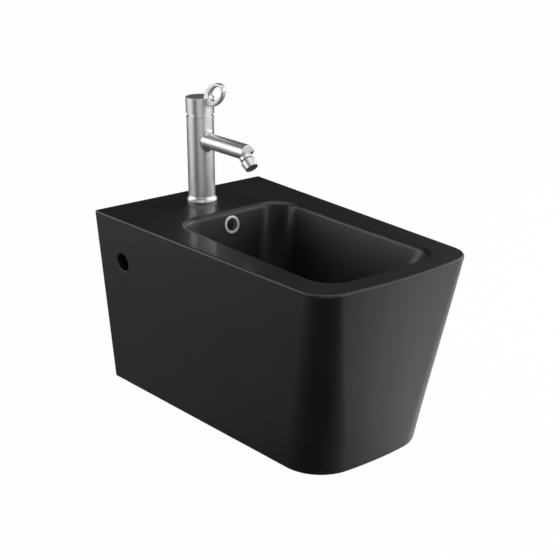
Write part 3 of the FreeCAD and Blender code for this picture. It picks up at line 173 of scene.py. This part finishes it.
def makeChrome(c):
    material, tree, shader, place = newMaterial("polishedChromePlate")
    wave = addNode(tree, "ShaderNodeTexNoise",
                   {"Scale": 1000 / c["waveWidth"], "Detail": 0.0}, {"Vector": place})
    joinNormal(tree, shader, c["waveDepth"], wave)
    haze = addNode(tree, "ShaderNodeTexNoise",
                   {"Scale": 1000 / c["hazeWidth"], "Detail": 3.0}, {"Vector": place})
    joinRoughness(tree, shader, c["smoothest"], c["roughest"], haze)
    shader.inputs["Base Color"].default_value = linearColour(c["colour"])
    shader.inputs["Metallic"].default_value = 1.0
    return material


# The finishes of the hidden parts, each a fine grain over a plain colour. The widths and
# depths of the grain are in mm, drawn wide enough to show.
plainFinishes = {
    # Turned on a lathe: warm yellow, with a fine shimmer
    "raw_brass": {"name": "turnedBrass", "colour": "#B79A5B", "dark": "#A5884B",
                  "metallic": 1.0, "roughness": 0.32, "grain": 0.35, "depth": 0.01},
    # Zinc plated: blue-grey, with a dull spangle
    "steel": {"name": "zincPlatedSteel", "colour": "#A9ACAF", "dark": "#8F9396",
              "metallic": 1.0, "roughness": 0.36, "grain": 0.8, "depth": 0.01},
    # Moulded: near black, hardly any shine
    "black_rubber": {"name": "mouldedRubber", "colour": "#1B1B1C", "dark": "#121213",
                     "metallic": 0.0, "roughness": 0.72, "grain": 0.5, "depth": 0.03},
    # Acetal, moulded: milky, with a waxy shine
    "white_plastic": {"name": "mouldedAcetal", "colour": "#E4E3DD", "dark": "#D9D8D0",
                      "metallic": 0.0, "roughness": 0.42, "grain": 0.6, "depth": 0.01},
    # Nylon filled with glass, moulded: dark grey, slightly rough
    "grey_plastic": {"name": "mouldedNylon", "colour": "#5C5F63", "dark": "#505357",
                     "metallic": 0.0, "roughness": 0.5, "grain": 0.6, "depth": 0.02},
    # Fired without glaze: pale, chalky and dull
    "bare_china": {"name": "unglazedChina", "colour": "#D8D3C8", "dark": "#C6C0B4",
                   "metallic": 0.0, "roughness": 0.85, "grain": 0.4, "depth": 0.03},
}


def makePlain(p):
    material, tree, shader, place = newMaterial(p["name"])
    grain = addNode(tree, "ShaderNodeTexNoise", {"Scale": 1000 / p["grain"], "Detail": 2.0},
                    {"Vector": place})
    joinColour(tree, shader, p["dark"], p["colour"], grain)
    joinNormal(tree, shader, p["depth"], grain)
    shader.inputs["Metallic"].default_value = p["metallic"]
    shader.inputs["Roughness"].default_value = p["roughness"]
    return material


finishes = {"black_ceramic": makeGlaze(blackGlaze), "chrome_brass": makeChrome(platedChrome)}
finishes["chrome_plastic"] = finishes["chrome_brass"]
for slotName, recipe in plainFinishes.items():
    finishes[slotName] = makePlain(recipe)
slotOf = {p["node"]: p["material_slot"] for p in frame["record"]["subparts"]}
for name, node in cadNodes.items():
    node.data.materials.clear()
    node.data.materials.append(finishes[slotOf[name]])
print("materials made:", len(finishes))


def onlySelect(piece):
    bpy.ops.object.select_all(action="DESELECT")
    piece.select_set(True)
    bpy.context.view_layer.objects.active = piece


joinWithin = 0.000002  # metres, between corners that are one
flatWithin = 0.8  # degrees, between triangles that are one face


def smoothSkin(nodeName, pieceName, angle):
    # The node's own form with its loose triangles joined, so that light runs over it smoothly
    source = cadNodes[nodeName]
    piece = bpy.data.objects.new(pieceName, source.data.copy())
    scene.collection.objects.link(piece)
    onlySelect(piece)
    bpy.ops.object.mode_set(mode="EDIT")
    bpy.ops.mesh.select_all(action="SELECT")
    bpy.ops.mesh.remove_doubles(threshold=joinWithin)
    bpy.ops.mesh.dissolve_limited(angle_limit=math.radians(flatWithin), delimit={"NORMAL"})
    bpy.ops.object.mode_set(mode="OBJECT")
    bpy.ops.object.shade_smooth_by_angle(angle=math.radians(angle))
    evener = piece.modifiers.new("evener", "WEIGHTED_NORMAL")
    evener.keep_sharp = True
    bpy.ops.object.modifier_apply(modifier=evener.name)
    piece.data.materials.clear()
    piece.data.materials.append(finishes[slotOf[nodeName]])
    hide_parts(nodeName)
    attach(piece, bodyOf[nodeName])


skins = {  # node: (piece, angle past which an edge stays sharp, in degrees)
    "ceramic_body": ("glazedBody", 30),
    "overflow_ring": ("overflowTrim", 35),
    "tap_body": ("mixerColumn", 35),
    "spout_nozzle": ("spoutEnd", 35),
    "swivel_stem": ("swivelCollar", 35),
    "aerator_housing": ("aeratorShell", 35),
    "dome_cover": ("domeRing", 35),
    "handle": ("leverHandle", 35),
    "grub_cover": ("leverPlug", 35),
    "waste_plug": ("pushPlug", 35),
    "waste_body": ("wasteFlange", 35),
}
for nodeName, (pieceName, angle) in skins.items():
    smoothSkin(nodeName, pieceName, angle)
print("smooth skins made:", len(skins))


# Left unglazed: the overflow duct behind the bowl, whose pale wall shows through the
# ring, and the back face that stands against the wall.
bareClay = {  # metres
    "halfWidth": 0.019,  # of the duct
    "bowlBack": 0.146,  # the bowl's back wall at the rim, from the wall
    "lean": 0.178,  # how far that wall leans forward for each metre down
    "rim": 0.078,
    "rimSkin": 0.004,  # glaze on the rim above the duct
    "mouthSkin": 0.0015,  # glaze that runs into the mouth of the hole
    "farWall": 0.118,
    "bottom": -0.09,
    "backFace": 0.0005,  # how near the wall a face counts as the back
    "facing": 0.99,  # how squarely it faces the wall
}


def leaveBare(piece, d):
    piece.data.materials.append(finishes["bare_china"])
    for face in piece.data.polygons:
        x, y, z = face.center
        bowlWall = -d["bowlBack"] - (d["rim"] - z) * d["lean"]
        inDuct = (abs(x) < d["halfWidth"] and bowlWall + d["mouthSkin"] < y < -d["farWall"]
                  and d["bottom"] < z < d["rim"] - d["rimSkin"])
        onWall = abs(y) < d["backFace"] and face.normal.y > d["facing"]
        if inDuct or onWall:
            face.material_index = 1  # the slot of the bare china


glazedBody = bpy.data.objects["glazedBody"]
leaveBare(glazedBody, bareClay)
print("faces left unglazed:", sum(f.material_index for f in glazedBody.data.polygons))


# The studio: a white paper floor, and soft lights that the glaze and the chrome mirror.
# In reflections the floor shows painted light instead of the lit paper: patches of emission,
# most of all on the right, and behind on the left and in front; past them it falls off into
# the dark room.
studio = {
    "floorHeight": -0.325,
    "floorSize": 30,
    "paper": "#F6F6F6",
    "seenWhite": 0.98,  # share of the paper's own white that the camera sees
    "paintedPools": [  # painted light: centre, full brightness within, none beyond (metres), brightness
        ((0.80, -0.45, 0), 0.54, 1.00, 1.0),
        ((-0.75, 0.35, 0), 0.60, 1.10, 0.15),
        ((-1.35, 0.75, 0), 0.25, 0.65, 0.9),
        ((-1.25, -1.45, 0), 0.40, 0.85, 0.1),
        ((0.62, -1.65, 0), 0.25, 0.60, 0.8),
    ],
    "room": "#303030",
}


def makeFloor(f):
    bpy.ops.object.select_all(action="DESELECT")
    bpy.ops.mesh.primitive_plane_add(size=f["floorSize"], location=(0, 0, f["floorHeight"]))
    floor = bpy.context.object
    floor.name = "studioFloor"
    material = bpy.data.materials.new("matteWhitePaper")
    material.use_nodes = True
    tree = material.node_tree
    tree.nodes.clear()
    place = addNode(tree, "ShaderNodeTexCoord").outputs["Object"]
    light = None
    # Painted light: each entry paints a round patch of emission that fades out between near
    # and far
    for centre, near, far, brightness in f["paintedPools"]:
        reach = addNode(tree, "ShaderNodeVectorMath", {"operation": "DISTANCE", 1: centre},
                        {0: place})
        paintedPool = addNode(tree, "ShaderNodeMapRange",
                       {"interpolation_type": "SMOOTHSTEP", "From Min": near, "From Max": far,
                        "To Min": brightness, "To Max": 0.0},
                       {"Value": reach.outputs["Value"]})
        if light is None:
            light = paintedPool.outputs["Result"]
        else:
            light = addNode(tree, "ShaderNodeMath", {"operation": "ADD"},
                            {0: light, 1: paintedPool.outputs["Result"]}).outputs[0]
    paintedPools = addNode(tree, "ShaderNodeEmission", {"Color": (1, 1, 1, 1)}, {"Strength": light})
    paper = addNode(tree, "ShaderNodeBsdfDiffuse", {"Color": linearColour(f["paper"])})
    white = addNode(tree, "ShaderNodeEmission", {"Color": (1, 1, 1, 1), "Strength": 1.0})
    ray = addNode(tree, "ShaderNodeLightPath")
    seen = addNode(tree, "ShaderNodeMath", {"operation": "MULTIPLY", 1: f["seenWhite"]},
                   {0: ray.outputs["Is Camera Ray"]})
    bySight = addNode(tree, "ShaderNodeMixShader", {},
                      {0: seen.outputs[0], 1: paper.outputs[0], 2: white.outputs[0]})
    # Glossy and transmission rays see only the painted light, never the paper
    mirrored = addNode(tree, "ShaderNodeMath", {"operation": "MAXIMUM"},
                       {0: ray.outputs["Is Glossy Ray"],
                        1: ray.outputs["Is Transmission Ray"]})
    byMirror = addNode(tree, "ShaderNodeMixShader", {},
                       {0: mirrored.outputs[0], 1: bySight.outputs[0], 2: paintedPools.outputs[0]})
    addNode(tree, "ShaderNodeOutputMaterial", {}, {"Surface": byMirror.outputs[0]})
    floor.data.materials.append(material)


def makeWorld(f):
    world = bpy.data.worlds.new("studioRoom")
    world.use_nodes = True
    tree = world.node_tree
    tree.nodes.clear()
    room = addNode(tree, "ShaderNodeBackground", {"Color": linearColour(f["room"])})
    white = addNode(tree, "ShaderNodeBackground", {"Color": (1, 1, 1, 1)})
    seen = addNode(tree, "ShaderNodeLightPath")
    mix = addNode(tree, "ShaderNodeMixShader", {},
                  {0: seen.outputs["Is Camera Ray"], 1: room.outputs[0], 2: white.outputs[0]})
    addNode(tree, "ShaderNodeOutputWorld", {}, {"Surface": mix.outputs[0]})
    scene.world = world


lamps = {  # name: (place, aimed at, width, height, watts)
    "softboxRight": ((1.60, -1.90, 0.70), (0, -0.35, 0), 4.4, 2.1, 46),
    "softboxSide": ((2.30, -0.20, 0.90), (0, -0.30, 0), 2.0, 1.6, 12),
    "softboxLeft": ((-2.28, 1.60, 0.65), (0, -0.30, 0), 4.2, 1.9, 48),
    "softboxTop": ((0, -0.50, 2.40), (0, -0.30, 0), 3.4, 3.0, 38),
    "lowCard": ((-1.60, -2.20, 0.10), (0, -0.10, 0.15), 2.4, 0.5, 9),  # for the tap
}


def makeLamp(name, place, aim, width, height, watts):
    data = bpy.data.lights.new(name, "AREA")
    data.shape, data.size, data.size_y, data.energy = "RECTANGLE", width, height, watts
    lamp = bpy.data.objects.new(name, data)
    scene.collection.objects.link(lamp)
    lamp.location = place
    lamp.rotation_euler = (Vector(aim) - Vector(place)).to_track_quat("-Z", "Y").to_euler()


makeFloor(studio)
makeWorld(studio)
for name, values in lamps.items():
    makeLamp(name, *values)
print("studio ready:", len(lamps), "lamps")
